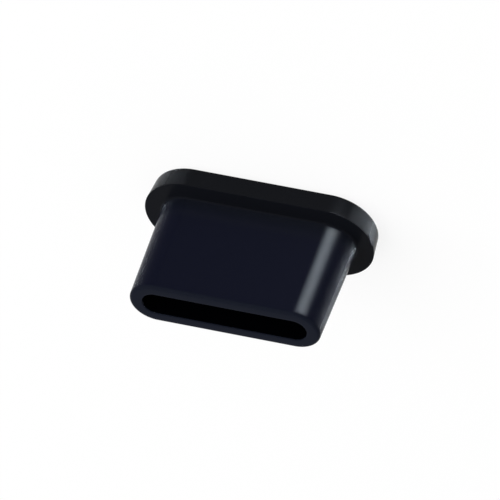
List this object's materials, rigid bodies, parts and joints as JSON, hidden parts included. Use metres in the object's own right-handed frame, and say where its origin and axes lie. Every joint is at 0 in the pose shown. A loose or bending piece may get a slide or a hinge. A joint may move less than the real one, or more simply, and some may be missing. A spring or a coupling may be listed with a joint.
{
  "type": "usb-c dust plug",
  "caption": "Soft moulded dust plug for a connector port: rounded flange, tapered hollow body that fills the port's opening, and a blind slot that clears the port's tongue.",
  "frame": {"origin": "centre of the flange's outer face, on the surface that the plug stands on", "axes": "+X along the wide side, +Y across the thin side, +Z from the flange to the mouth of the body"},
  "size_m": [0.0098, 0.004, 0.0058],
  "materials": {
    "silicone": "satin black moulded silicone"
  },
  "bodies": {
    "root": {"dust_plug": "silicone"}
  },
  "joints": []
}
